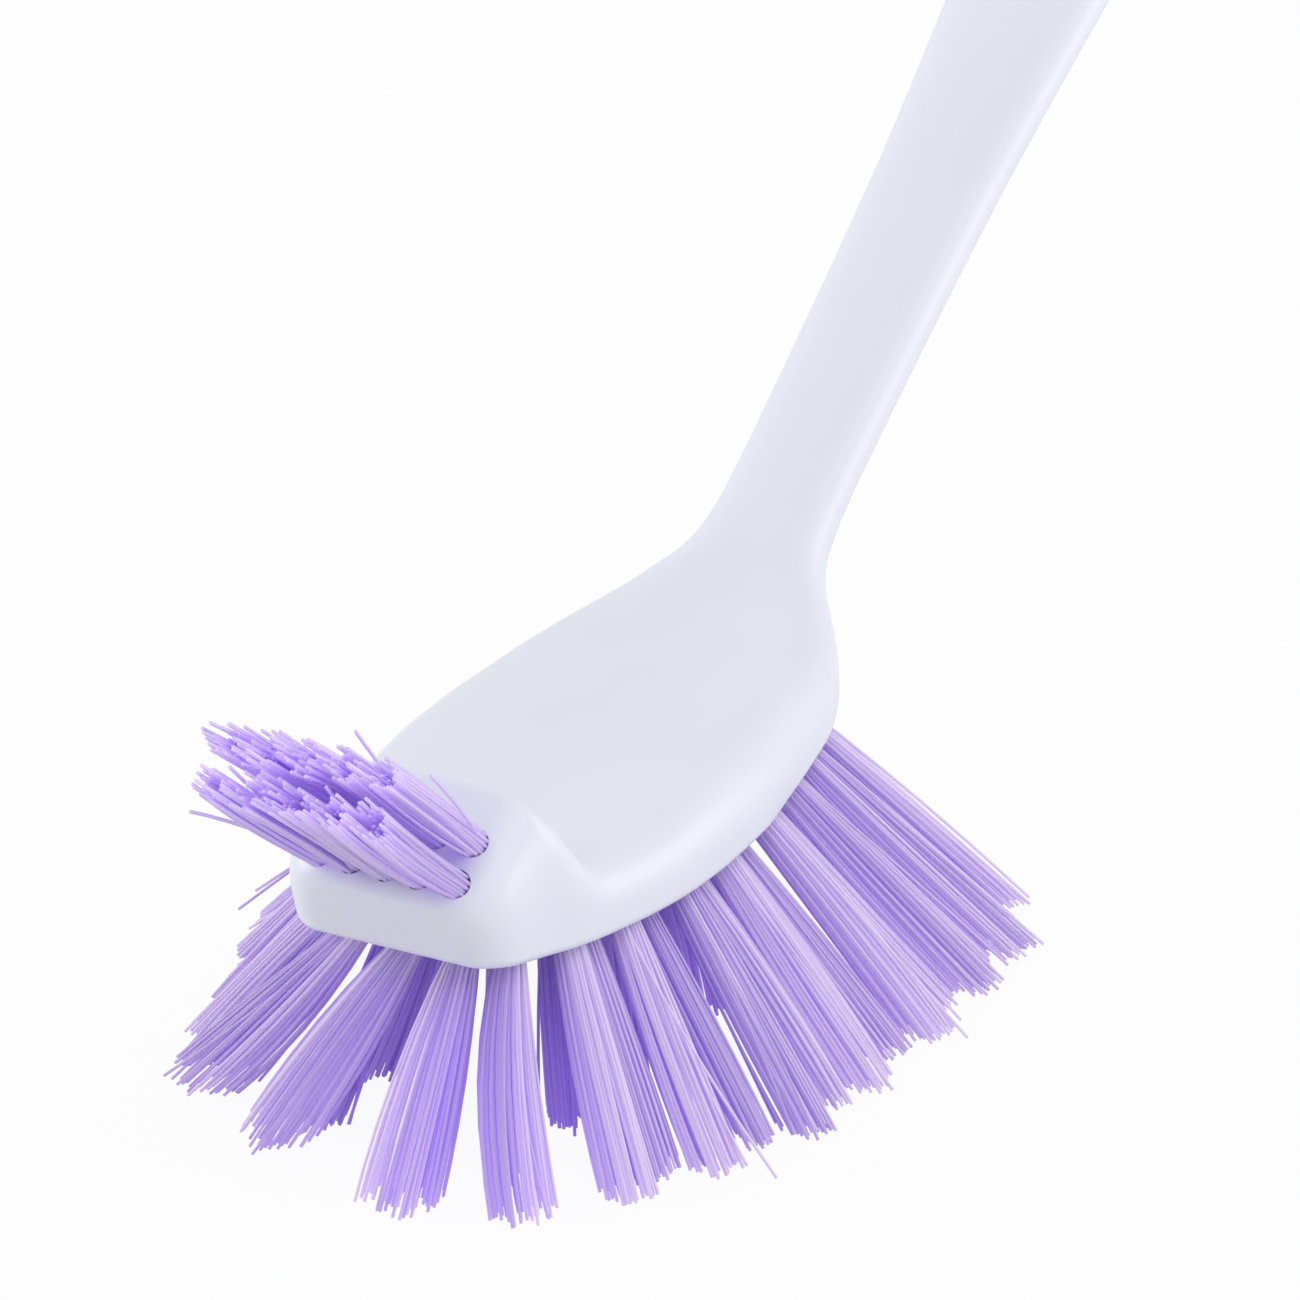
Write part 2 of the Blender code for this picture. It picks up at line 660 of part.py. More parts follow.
def centre_over_origin(things):
    """Move the brush along X so that its whole length is centred over the origin."""
    bpy.context.view_layer.update()
    graph = bpy.context.evaluated_depsgraph_get()
    ends = []
    for thing in things:
        shape = thing.evaluated_get(graph)
        ends += [(thing.matrix_world @ Vector(corner)).x for corner in shape.bound_box]
    middle = (min(ends) + max(ends)) / 2
    base = bpy.data.objects.new("brush_origin", None)
    things[0].users_collection[0].objects.link(base)
    for thing in things:
        thing.parent = base
    base.location.x = -middle
    return base


def build():
    for thing in list(bpy.data.objects):
        bpy.data.objects.remove(thing)
    brush = new_collection("dish_brush")
    cutters = new_collection("cutters")
    white = plastic("white_plastic", BODY_COLOUR, BODY_ROUGHNESS)
    lavender = plastic("lavender_bristle", BRISTLE_COLOUR, BRISTLE_ROUGHNESS)

    body = loft("head_and_handle", body_rings(), brush, white)
    lower = lower_tufts()
    upper = upper_tufts()
    holes = hole_cutters(lower + upper, cutters)
    hang = hang_hole_cutter(cutters)
    cut(body, holes)
    cut(body, hang)

    things = [body]
    for name, root, tip in lower:
        things.append(tuft(name, root, tip, LOWER_SPREAD_SHARE, True, brush, lavender))
    for name, root, tip in upper:
        things.append(tuft(name, root, tip, UPPER_SPREAD_SHARE, False, brush, lavender))
    base = centre_over_origin(things)
    holes.parent = base
    hang.parent = base


build()
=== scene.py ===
import math

import bmesh
import bpy
import numpy as np
from mathutils import Matrix, Vector


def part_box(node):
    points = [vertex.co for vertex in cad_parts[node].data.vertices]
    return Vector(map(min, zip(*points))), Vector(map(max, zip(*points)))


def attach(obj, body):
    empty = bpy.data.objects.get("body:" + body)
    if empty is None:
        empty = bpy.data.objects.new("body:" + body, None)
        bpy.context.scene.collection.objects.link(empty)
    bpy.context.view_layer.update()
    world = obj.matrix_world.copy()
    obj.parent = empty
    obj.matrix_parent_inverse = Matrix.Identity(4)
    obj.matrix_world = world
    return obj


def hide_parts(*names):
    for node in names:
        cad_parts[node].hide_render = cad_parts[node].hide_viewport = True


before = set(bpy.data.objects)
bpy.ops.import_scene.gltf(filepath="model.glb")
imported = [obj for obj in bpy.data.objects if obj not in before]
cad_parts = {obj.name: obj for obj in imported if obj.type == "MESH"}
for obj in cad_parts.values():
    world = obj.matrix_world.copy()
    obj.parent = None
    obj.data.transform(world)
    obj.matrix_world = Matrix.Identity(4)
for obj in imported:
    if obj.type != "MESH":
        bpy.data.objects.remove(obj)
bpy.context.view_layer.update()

MM = 0.001

# Head, measured from the foot of the nose wall
NECK_REACH = 118 * MM
HEAD_HALF_WIDTH = 25.2 * MM
SOLE_RISE = 27.6 * MM
EDGE_RADIUS = 1.3 * MM
RIM_HEIGHT = 11.9 * MM
DISH_DEPTH = 4.2 * MM
DISH_WIDTH_SHARE = 0.86
ROUND_CORNER_SHARE = 0.75

# Nose, with its sloping face for the upper tufts
NOSE_CORNER = 5 * MM
NOSE_WALL_HEIGHT = 10 * MM
NOSE_LEAN_SHARE = 0.33
NOSE_LEAN_REACH = 12 * MM
NOSE_FLARE_SHARE = 0.0875
FACE_SLOPE = math.radians(36)
BOSS_CREST = 10.8 * MM
BOSS_TAIL = 21 * MM
BOSS_DISH = 4.6 * MM

# Handle, a straight bar that rises from the neck
HANDLE_ANGLE = math.radians(31.4)
HANDLE_LENGTH = 140 * MM
NECK_HALF_WIDTH = 8.6 * MM
GRIP_HALF_WIDTH = 12.5 * MM
HANDLE_TOP = 4.4 * MM
HANDLE_BOTTOM = 4.4 * MM
HANDLE_END_ROUND = 13 * MM
END_FLAT_SHARE = 0.12
END_THICK_ROUND = 4.5 * MM
HANG_HOLE_LENGTH = 14 * MM
HANG_HOLE_WIDTH = 8 * MM
HANG_HOLE_INSET = 17 * MM
HANG_HOLE_SIDES = 20
HANG_HOLE_ROUND = 1.2 * MM
HANG_HOLE_STEPS = 6
SHARP_ANGLE = math.radians(38)

# Tuft holes
HOLE_RADIUS = 2.0 * MM
HOLE_WALL = 0.75 * MM
HOLE_DEPTH = 4.8 * MM
HOLE_SIDES = 28
CUT_OVERRUN = 3 * MM
STEEP_SHARE = 0.5

# Lower bristle field: an outer ring, an inner row staggered behind its sides, and two middle rows
OUTER_INSET = 5.0 * MM
OUTER_START = 6.0 * MM
OUTER_END = 92 * MM
OUTER_ROUND = 12 * MM
OUTER_PLACE_SHARES = (0.069, 0.134, 0.223, 0.312, 0.422, 0.517, 0.631, 0.715, 0.790, 0.866, 0.952)
INNER_FROM = 3
INNER_TUFTS = 7
INNER_ROW_GAP = 3.2 * MM
INNER_TIP_GAP = 2.5 * MM
INNER_TIP_SPACING = 7.2 * MM
MIDDLE_TUFTS = 6
MIDDLE_HALF_GAP = 7 * MM
ROW_GAP_FRONT = 11 * MM
ROW_GAP_REAR = 11 * MM
MIDDLE_START = OUTER_START + ROW_GAP_FRONT
MIDDLE_END = OUTER_END - ROW_GAP_REAR
LINE_STEPS = 400

# Upper tufts on the nose face
NOSE_COLUMNS = 5
NOSE_PITCH = 2 * HOLE_RADIUS + HOLE_WALL
NOSE_FRONT_ROW = -0.5 * MM
NOSE_REAR_ROW = 4.3 * MM
NOSE_TUFT_LENGTH = 29.8 * MM
NOSE_TUFT_ANGLE = math.radians(40)
NOSE_FAN_SHARE = 1.17

# Filaments: how many, how thick and how they spread, by where their tuft stands
FILAMENTS = {"front": 78, "left": 68, "right": 76, "nose": 54}
FILAMENT_RADII = {"front": 0.215 * MM, "left": 0.215 * MM, "right": 0.215 * MM, "nose": 0.25 * MM}
FILAMENT_SIDES = 5
FILAMENT_SINK = 2.5 * MM
FILAMENT_PLACE_SHARES = (0.0, 0.16, 0.34, 0.52, 0.70, 0.86, 1.0)
BUNDLE_RADIUS = 1.88 * MM
ROOT_JITTER = 0.03 * MM
SPREAD_SHARES = {"front": 2.9, "left": 1.6, "right": 2.05, "nose": 1.3}
FLARES = {"front": 0.75 * MM, "left": 0.3 * MM, "right": 0.35 * MM, "nose": 0.1 * MM}
# Tufts that stand more upright than their solids, with the share of the lean that is taken away
UPRIGHT_SHARES = {"tuft_outer_left_02": 0.12, "tuft_outer_left_03": 0.14, "tuft_outer_left_04": 0.14,
                  "tuft_outer_left_05": 0.12, "tuft_inner_left_01": 0.14, "tuft_inner_left_02": 0.14}
# Tufts that spread as the front ones do
FRONT_TUFTS = ("tuft_outer_front", "tuft_outer_right_01", "tuft_outer_right_02", "tuft_outer_left_01")
# Chance in a tuft: how far its tips, bows, strays and clusters go, and how ragged its cut is
SPREAD_CHANGE_SHARE = 0.12
TIP_JITTER = 0.20 * MM
BOW = 0.09 * MM
TUFT_BOW = 0.35 * MM
STRAY_CHANCE_SHARE = 0.05
STRAY_TIP = 2.0 * MM
STRAY_BOW_SHARE = 2
CLUSTERS = 7
CLUSTER_REACH_SHARE = 0.8
CLUSTER_PULL_SHARE = 0.28
SEED_STEP = 7
LOWER_RAGGED = 0.5 * MM
UPPER_RAGGED = 0.75 * MM
LONG_STRAY = 6.0 * MM
LONG_CHANCE_SHARE = 0.04
CROWN_DEPTH = 5.5 * MM
# Share of a nose tuft's radius within which the filaments take the deepest tone: painted shade in the
# crown's sunken middle
PAINTED_SHADE_CORE_SHARE = 0.55
CROWN_RISES = {"front": 1.2 * MM, "rear": 3.2 * MM}
SQUARE_CUT_SHARE = 0.25
FLOOR_CLEARANCE = 0.20 * MM
GOLDEN_TURN = math.pi * (3 - math.sqrt(5))

# Shading of a tuft as one round bundle: filaments further out than the strays' share keep their own
ROUNDING_SHARE = 0.55
SPREAD_PERCENTILE = 85
STRAY_OFF_SHARE = 1.5
SLANTED = (0.31, 0.87, 0.38)

# Rise of the sole's line along the head: place along NECK_REACH, height as a share of NECK_REACH
SPINE_SHARES = (
    (0.0, 0.0257), (0.085, 0.012), (0.17, 0.0045), (0.32, 0.001), (0.44, 0.0), (0.55, 0.0035),
    (0.636, 0.0083), (0.695, 0.0145), (0.746, 0.0255), (0.797, 0.0455), (0.847, 0.0785),
    (0.898, 0.1205), (0.949, 0.1566), (1.0, 0.1905),
)
# Plan of the head: place along NECK_REACH, share of HEAD_HALF_WIDTH
PLAN_SHARES = (
    (0.0, 0.574), (0.042, 0.632), (0.085, 0.69), (0.127, 0.765), (0.186, 0.848), (0.254, 0.932),
    (0.322, 0.982), (0.398, 1.0), (0.475, 0.995), (0.551, 0.956), (0.636, 0.905), (0.695, 0.866),
    (0.746, 0.799), (0.788, 0.709), (0.822, 0.612), (0.847, 0.528), (0.869, 0.448), (0.890, 0.393),
    (0.915, 0.362), (0.949, 0.346), (1.0, 0.3413),
)
# Plan of the handle: place along HANDLE_LENGTH, share of the way from neck width to grip width
GRIP_SHARES = (
    (0.0, 0.0), (0.10, 0.035), (0.19, 0.08), (0.27, 0.145), (0.35, 0.22), (0.40, 0.29), (0.44, 0.37),
    (0.49, 0.475), (0.55, 0.61), (0.61, 0.76), (0.68, 0.91), (0.75, 1.0), (0.83, 0.92), (0.90, 0.70),
    (0.95, 0.56), (1.0, 0.5),
)
# Rim height along the head behind the boss: place along NECK_REACH, share of RIM_HEIGHT
RIM_SHARES = (
    (0.0, 0.82), (0.20, 0.80), (0.26, 0.84), (0.33, 0.93), (0.42, 1.0), (0.60, 0.985), (0.70, 0.872),
    (0.78, 0.712), (0.86, 0.539), (0.93, 0.41), (1.0, 0.37),
)
# Dish along the head behind the boss: place along NECK_REACH, share of DISH_DEPTH
DISH_SHARES = (
    (0.0, 1.4), (0.22, 1.3), (0.30, 1.08), (0.40, 1.0), (0.62, 1.0), (0.72, 0.8), (0.80, 0.45),
    (0.86, 0.15), (0.91, 0.0), (1.0, 0.0),
)
# Underside: place along NECK_REACH, share of the way from the flat sole to the round handle
ROUND_UNDER_SHARES = (
    (0.0, 0.0), (0.70, 0.0), (0.76, 0.10), (0.82, 0.35), (0.88, 0.68), (0.94, 0.92), (1.0, 1.0),
)
# How square the upper half of a section is: place along NECK_REACH, superellipse power
SQUARE_SHARES = ((0.0, 4.2), (0.08, 4.0), (0.16, 3.8), (0.26, 3.6), (0.75, 3.4), (0.9, 2.8), (1.0, 2.6))
# Lengthwise lean of the tufts: root's place along NECK_REACH, lean as a share of SOLE_RISE
LEAN_SHARES = (
    (0.05, -0.49), (0.10, -0.43), (0.16, -0.42), (0.24, -0.36), (0.34, -0.26), (0.42, -0.12), (0.53, 0.03),
    (0.605, 0.20), (0.67, 0.33), (0.73, 0.52), (0.78, 0.72),
)
# Sideways splay of the tufts: root's place along NECK_REACH, share of the root's own distance aside
SPLAY_SHARES = (
    (0.05, 0.50), (0.08, 0.64), (0.16, 0.97), (0.24, 1.05), (0.33, 1.19), (0.42, 1.20), (0.51, 1.32),
    (0.60, 1.47), (0.67, 1.60), (0.73, 1.90), (0.79, 2.0),
)
# Bend of the tufts round the left front corner, backwards and then aside: way round the outer ring from
# the nose's middle along NECK_REACH, bend as a share of SOLE_RISE
BEND_BACK_SHARES = (
    (-0.064, 0.0), (0.0, 0.29), (0.064, 0.60), (0.13, 0.65), (0.236, 0.50), (0.336, 0.42), (0.454, 0.30),
    (0.54, 0.18), (0.65, 0.06), (0.75, 0.0),
)
BEND_ASIDE_SHARES = (
    (-0.13, 0.0), (-0.064, 0.20), (0.0, 0.64), (0.064, 0.76), (0.13, 0.68), (0.236, 0.46), (0.336, 0.28),
    (0.454, 0.14), (0.54, 0.07), (0.65, 0.0),
)

# Fineness of the moulded body
SECTION_STEPS = 44
SECTION_CROWD_POWER = 1.5
FLAT_SHARES = (0.0, 0.15, 0.3, 0.45, 0.6, 0.75, 0.9)
CORNER_STEPS = 10
NOSE_ARC_STEPS = 16
NOSE_STEP = 0.5 * MM
HEAD_STEP = 1.2 * MM
HANDLE_STEP = 2.5 * MM
END_ARC_STEPS = 16

# Camera, floor and light
PHOTO_SIDE = 1300
PIXELS_PER_METRE = 8000
CAMERA_DISTANCE = 0.8
CAMERA_AZIMUTH = math.radians(-63)
CAMERA_ELEVATION = math.radians(25)
TARGET_AHEAD = 0.37 * MM
TARGET_HEIGHT = 31 * MM
TARGET_PIXEL = (391, 947.5)
SENSOR_WIDTH = 36
FLOOR_SIZE = 12.0
FLOOR_SHADE = 0.84
FLOOR_GLOW_SHARE = 0.93
WORLD_STRENGTH = 0.62
KEY_POWER = 3.6
KEY_SIZE = 0.9
KEY_PLACE = (-0.30, -0.60, 1.05)
FILL_POWER = 6.0
FILL_SIZE = 1.2
FILL_PLACE = (0.55, -1.15, 0.35)
LEFT_POWER = 5.6
LEFT_SIZE = 0.8
LEFT_PLACE = (-0.25, 1.05, 0.4)

# White plastic, with faint mottling and waves
BODY_COLOUR = (0.77, 0.795, 0.88)
MOTTLE_SCALE = 55
MOTTLE_DETAIL = 3
MOTTLE_SHARES = (0.3, 0.7)
MOTTLE_DEEP_SHARE = 0.985
BODY_ROUGHNESSES = (0.27, 0.36)
WAVE_SCALE = 130
WAVE_DETAIL = 1
WAVE_SHARE = 0.12
WAVE_DEPTH = 0.15 * MM
MILKY_SHARE = 0.15
MILKY_DEPTH = 1.5 * MM
SHEEN_SHARE = 0.45

# Lavender plastic: colours of filaments and of their cut ends, whose paler colours are a painted
# highlight, how much light goes through them, and the tones' places between deep and pale, with the chance
# of each
BRISTLE_DEEP = (0.48, 0.33, 0.82)
BRISTLE_PALE = (0.88, 0.77, 1.0)
# Cut ends painted paler than the filaments: a painted highlight on the cut faces
END_HIGHLIGHT_DEEP = (0.64, 0.51, 0.93)
END_HIGHLIGHT_PALE = (0.93, 0.86, 1.0)
FILAMENT_ROUGHNESS = 0.38
END_ROUGHNESS = 0.55
TRANSLUCENT_SHARE = 0.25
LIGHT_TINT = (0.94, 0.91, 0.99)
LIGHT_THROUGH_SHARE = 0.35
LIGHT_THROUGH_DEPTH = 20
OWN_SHARE = 0.32
# Painted shade: how much paler the filaments are painted from their roots to their tips
PAINTED_ROOT_SHADE_SHARE = 0.25
TONES = (0.15, 0.42, 0.64)
TONE_CHANCE_SHARES = (0.25, 0.4, 0.35)


def eased(t):
    """Smooth step from 0 to 1."""
    return t * t * (3 - 2 * t)


def smooth(table, place):
    """Cubic curve through a table of (place, value), held level past its ends."""
    if place <= table[0][0]:
        return table[0][1]
    if place >= table[-1][0]:
        return table[-1][1]
    slopes = [slope_at(table, i) for i in range(len(table))]
    for i in range(len(table) - 1):
        (x0, y0), (x1, y1) = table[i], table[i + 1]
        if place <= x1:
            break
    span = x1 - x0
    t = (place - x0) / span
    return (y0 + (y1 - y0) * eased(t)
            + span * slopes[i] * (t ** 3 - 2 * t * t + t)
            + span * slopes[i + 1] * (t ** 3 - t * t))


def slope_at(table, i):
    """Slope at one point of a table; level at a peak, a dip or an end."""
    if i == 0 or i == len(table) - 1:
        j = min(i, len(table) - 2)
        return (table[j + 1][1] - table[j][1]) / (table[j + 1][0] - table[j][0])
    before = (table[i][1] - table[i - 1][1]) / (table[i][0] - table[i - 1][0])
    after = (table[i + 1][1] - table[i][1]) / (table[i + 1][0] - table[i][0])
    if before * after <= 0:
        return 0.0
    return 2 * before * after / (before + after)


def spine_height(x):
    """Height of the line where a section is widest, just above the sole."""
    return SOLE_RISE + EDGE_RADIUS + NECK_REACH * smooth(SPINE_SHARES, x / NECK_REACH)


def foot_height():
    """Height of the foot of the nose wall."""
    return spine_height(0.0) - EDGE_RADIUS


def half_width(x):
    """Half width of the head in plan, with its rounded nose corners."""
    width = HEAD_HALF_WIDTH * smooth(PLAN_SHARES, x / NECK_REACH)
    if x < NOSE_CORNER:
        width += math.sqrt(NOSE_CORNER ** 2 - (NOSE_CORNER - x) ** 2) - NOSE_CORNER
    return width


def lean_factor(x):
    """How much of the nose wall's forward lean a section at x takes."""
    left = max(0.0, 1 - x / NOSE_LEAN_REACH)
    return NOSE_LEAN_SHARE * left * left


def face_height(x):
    """Height of the sloping nose face above the foot of the wall, for the section at x."""
    rise = math.tan(FACE_SLOPE)
    lean = lean_factor(x)
    wall_top = NOSE_WALL_HEIGHT + rise * NOSE_LEAN_SHARE * NOSE_WALL_HEIGHT
    return (wall_top + rise * x) / (1 + rise * lean)


def nose_edge_round(x):
    """Drop that rounds the top and foot edges of the nose wall."""
    if x >= EDGE_RADIUS:
        return 0.0
    return EDGE_RADIUS - math.sqrt(EDGE_RADIUS ** 2 - (EDGE_RADIUS - x) ** 2)


def top_height(x):
    """Height of a section's rim above the spine: the boss at the nose, then the rim of the dish."""
    rim = RIM_HEIGHT * smooth(RIM_SHARES, x / NECK_REACH)
    face = foot_height() + face_height(min(x, BOSS_CREST)) - spine_height(min(x, BOSS_CREST))
    if x <= BOSS_CREST:
        return face - nose_edge_round(x)
    if x >= BOSS_TAIL:
        return rim
    t = (x - BOSS_CREST) / (BOSS_TAIL - BOSS_CREST)
    fall = (1 - t) ** 2 * (1 + 2 * t)
    return rim + (face - rim) * fall


def dish_depth(x):
    """Depth of the dish below the rim at the middle of a section."""
    depth = DISH_DEPTH * smooth(DISH_SHARES, x / NECK_REACH)
    if x <= BOSS_CREST:
        return 0.0
    t = min(1.0, (x - BOSS_CREST) / (BOSS_TAIL - BOSS_CREST))
    return depth * eased(t) + BOSS_DISH * math.sin(math.pi * t) ** 2


def section(half, top, under, corner, power, dish):
    """Half outline of a section as (across, up) points, from the middle of its underside to its top."""
    points = [(share * (half - corner), -under) for share in FLAT_SHARES]
    for step in range(CORNER_STEPS):
        angle = math.pi / 2 * step / CORNER_STEPS
        points.append((half - corner + corner * math.sin(angle), -under * math.cos(angle)))
    for step in range(SECTION_STEPS + 1):
        angle = math.pi / 2 * (step / SECTION_STEPS) ** SECTION_CROWD_POWER
        share = max(0.0, math.cos(angle)) ** (2 / power)
        up = top * math.sin(angle) ** (2 / power)
        inner = share / DISH_WIDTH_SHARE
        if inner < 1:
            up -= dish * (1 - inner * inner) ** 2
        points.append((share * half, up))
    points[-1] = (0.0, points[-1][1])
    return points


def head_section(x):
    """Section of the head at x, as points in space."""
    place = x / NECK_REACH
    round_under = smooth(ROUND_UNDER_SHARES, place)
    half = half_width(x)
    under = EDGE_RADIUS + (HANDLE_BOTTOM - EDGE_RADIUS) * round_under - nose_edge_round(x)
    corner = EDGE_RADIUS + (ROUND_CORNER_SHARE * half - EDGE_RADIUS) * round_under
    outline = section(half, top_height(x), under, corner, smooth(SQUARE_SHARES, place), dish_depth(x))
    step = EDGE_RADIUS
    tilt = math.atan2(spine_height(x + step) - spine_height(x - step), 2 * step) * round_under
    centre = Vector((x, 0.0, spine_height(x)))
    flare = NOSE_FLARE_SHARE * lean_factor(x) / NOSE_LEAN_SHARE
    points = []
    for across, up in outline:
        point = centre + Vector((-math.sin(tilt) * up, across, math.cos(tilt) * up))
        rise = point.z - foot_height()
        point.x -= lean_factor(x) * rise
        point.y *= 1 + flare * rise / NOSE_WALL_HEIGHT
        points.append(point)
    return points


def handle_point(distance):
    """Point of the handle's spine at a distance from the neck."""
    return Vector((NECK_REACH + math.cos(HANDLE_ANGLE) * distance, 0.0,
                   spine_height(NECK_REACH) + math.sin(HANDLE_ANGLE) * distance))


def handle_section(distance, size=1.0, thick=1.0):
    """Section of the handle square to its spine."""
    way = smooth(GRIP_SHARES, distance / HANDLE_LENGTH)
    half = NECK_HALF_WIDTH + (GRIP_HALF_WIDTH - NECK_HALF_WIDTH) * way
    power = SQUARE_SHARES[-1][1]
    corner = ROUND_CORNER_SHARE * half
    outline = section(half * size, HANDLE_TOP * thick, HANDLE_BOTTOM * thick, corner * size, power, 0.0)
    centre = handle_point(distance)
    up_direction = Vector((-math.sin(HANDLE_ANGLE), 0.0, math.cos(HANDLE_ANGLE)))
    return [centre + Vector((0.0, across, 0.0)) + up_direction * up for across, up in outline]


def whole_ring(half_points):
    """Ring from a half outline and its mirror image across the middle plane."""
    mirrored = [Vector((p.x, -p.y, p.z)) for p in reversed(half_points[1:-1])]
    return half_points + mirrored


def steps_between(start, end, step):
    """Even places from start to end, about a step apart, without the end itself."""
    count = max(1, round((end - start) / step))
    return [start + (end - start) * i / count for i in range(count)]


def body_rings():
    """Rings of the whole moulding, from the nose wall to the end of the handle."""
    places = []
    for step in range(NOSE_ARC_STEPS):
        angle = math.pi / 2 * step / NOSE_ARC_STEPS
        places.append(NOSE_CORNER * (1 - math.cos(angle)))
    places += steps_between(NOSE_CORNER, BOSS_TAIL, NOSE_STEP)
    places += steps_between(BOSS_TAIL, NECK_REACH, HEAD_STEP)
    rings = [whole_ring(head_section(x)) for x in places]
    start = HANDLE_LENGTH - HANDLE_END_ROUND
    for distance in steps_between(0.0, start, HANDLE_STEP):
        rings.append(whole_ring(handle_section(distance)))
    for step in range(END_ARC_STEPS + 1):
        angle = math.acos(END_FLAT_SHARE) * step / END_ARC_STEPS
        distance = start + HANDLE_END_ROUND * math.sin(angle)
        deep = max(0.0, distance - HANDLE_LENGTH + END_THICK_ROUND) / END_THICK_ROUND
        thick = math.sqrt(max(END_FLAT_SHARE ** 2, 1 - deep * deep))
        rings.append(whole_ring(handle_section(distance, math.cos(angle), thick)))
    return rings


def loft(name, rings):
    """Closed mesh through rings of equal point counts, with flat ends."""
    form = bmesh.new()
    rows = [[form.verts.new(point) for point in ring] for ring in rings]
    count = len(rings[0])
    for row, after in zip(rows, rows[1:]):
        for i in range(count):
            j = (i + 1) % count
            form.faces.new((row[i], row[j], after[j], after[i]))
    form.faces.new(list(reversed(rows[0])))
    form.faces.new(rows[-1])
    bmesh.ops.recalc_face_normals(form, faces=form.faces)
    return mesh_object(name, form)


def mesh_object(name, form):
    """Object from a bmesh, which it frees."""
    mesh = bpy.data.meshes.new(name)
    form.to_mesh(mesh)
    form.free()
    thing = bpy.data.objects.new(name, mesh)
    bpy.context.scene.collection.objects.link(thing)
    return thing


def tilted(direction, centre):
    """Matrix that turns +Z to a direction and moves the origin to a centre."""
    matrix = direction.to_track_quat("Z", "Y").to_matrix().to_4x4()
    matrix.translation = centre
    return matrix


def under_depth(x):
    """Depth of the underside below the spine."""
    return EDGE_RADIUS + (HANDLE_BOTTOM - EDGE_RADIUS) * smooth(ROUND_UNDER_SHARES, x / NECK_REACH)


def ring_width(x, inset, end, rounding):
    """Half width of a closed line of tufts at x, inset from the head's edge and rounded at the rear."""
    width = half_width(x) - inset
    close = end - rounding
    if x > close:
        width *= math.sqrt(max(0.0, 1 - ((x - close) / rounding) ** 2))
    return width


def ring_places(inset, start, end, rounding, shares):
    """Places of one side's tufts, at shares of a line that runs from the nose's middle to the rear."""
    line = [Vector((start, 0.0))]
    for step in range(LINE_STEPS + 1):
        x = start + (end - start) * step / LINE_STEPS
        line.append(Vector((x, ring_width(x, inset, end, rounding))))
    lengths = [0.0]
    for a, b in zip(line, line[1:]):
        lengths.append(lengths[-1] + (b - a).length)
    places = []
    for share in shares:
        wanted = lengths[-1] * share
        i = next(i for i in range(1, len(line)) if lengths[i] >= wanted)
        t = (wanted - lengths[i - 1]) / (lengths[i] - lengths[i - 1])
        places.append(line[i - 1].lerp(line[i], t))
    return places


def on_sole(x, y):
    """Point of the head's underside at a place in plan."""
    return Vector((x, y, spine_height(x) - under_depth(x)))


def splayed_tip(x, y):
    """Trimmed tip of the tuft that is rooted at a place in plan."""
    place = x / NECK_REACH
    return Vector((x + SOLE_RISE * smooth(LEAN_SHARES, place), y * (1 + smooth(SPLAY_SHARES, place)), 0.0))


def outer_tuft(x, y):
    """Root and tip of a tuft of the outer ring, bent if it stands round the left front corner."""
    way_round = math.copysign(abs(y) + x - OUTER_START, y) / NECK_REACH
    bend = Vector((smooth(BEND_BACK_SHARES, way_round), smooth(BEND_ASIDE_SHARES, way_round), 0.0))
    return on_sole(x, y), splayed_tip(x, y) + SOLE_RISE * bend


def behind(a, b, least, spacing, side):
    """Point beside the middle of a and b in plan: at least this far off, and spaced from both."""
    along = (b - a).to_2d()
    half = along.length / 2
    offset = math.sqrt(max(least ** 2, spacing ** 2 - half ** 2))
    across = Vector((along.y, -along.x, 0.0)).normalized()
    if across.dot(side) < 0:
        across.negate()
    return (a + b) / 2 + across * offset


def inner_row(outer):
    """Root and tip of the tufts that stand behind the gaps of one side of the outer ring."""
    tufts = []
    front = outer[INNER_FROM - 1:INNER_FROM - 1 + INNER_TUFTS]
    rear = outer[INNER_FROM:INNER_FROM + INNER_TUFTS]
    for (root_a, tip_a), (root_b, tip_b) in zip(front, rear):
        inwards = Vector((0.0, -root_a.y, 0.0))
        place = behind(root_a, root_b, INNER_ROW_GAP, 0.0, inwards)
        tip = behind(tip_a, tip_b, INNER_TIP_GAP, INNER_TIP_SPACING, inwards)
        tufts.append((on_sole(place.x, place.y), tip))
    return tufts


def lower_tufts():
    """Name, root on the sole and trimmed tip of every tuft under the head."""
    tufts = [("tuft_outer_front", *outer_tuft(OUTER_START, 0.0))]
    places = ring_places(OUTER_INSET, OUTER_START, OUTER_END, OUTER_ROUND, OUTER_PLACE_SHARES)
    for side, sign in (("left", 1), ("right", -1)):
        outer = [outer_tuft(p.x, sign * p.y) for p in places]
        middle = []
        for number in range(MIDDLE_TUFTS):
            x = MIDDLE_START + (MIDDLE_END - MIDDLE_START) * number / (MIDDLE_TUFTS - 1)
            y = sign * MIDDLE_HALF_GAP
            middle.append((on_sole(x, y), splayed_tip(x, y)))
        for row, members in (("outer", outer), ("inner", inner_row(outer)), ("middle", middle)):
            for number, (root, tip) in enumerate(members, start=1):
                tufts.append((f"tuft_{row}_{side}_{number:02d}", root, tip))
    return tufts


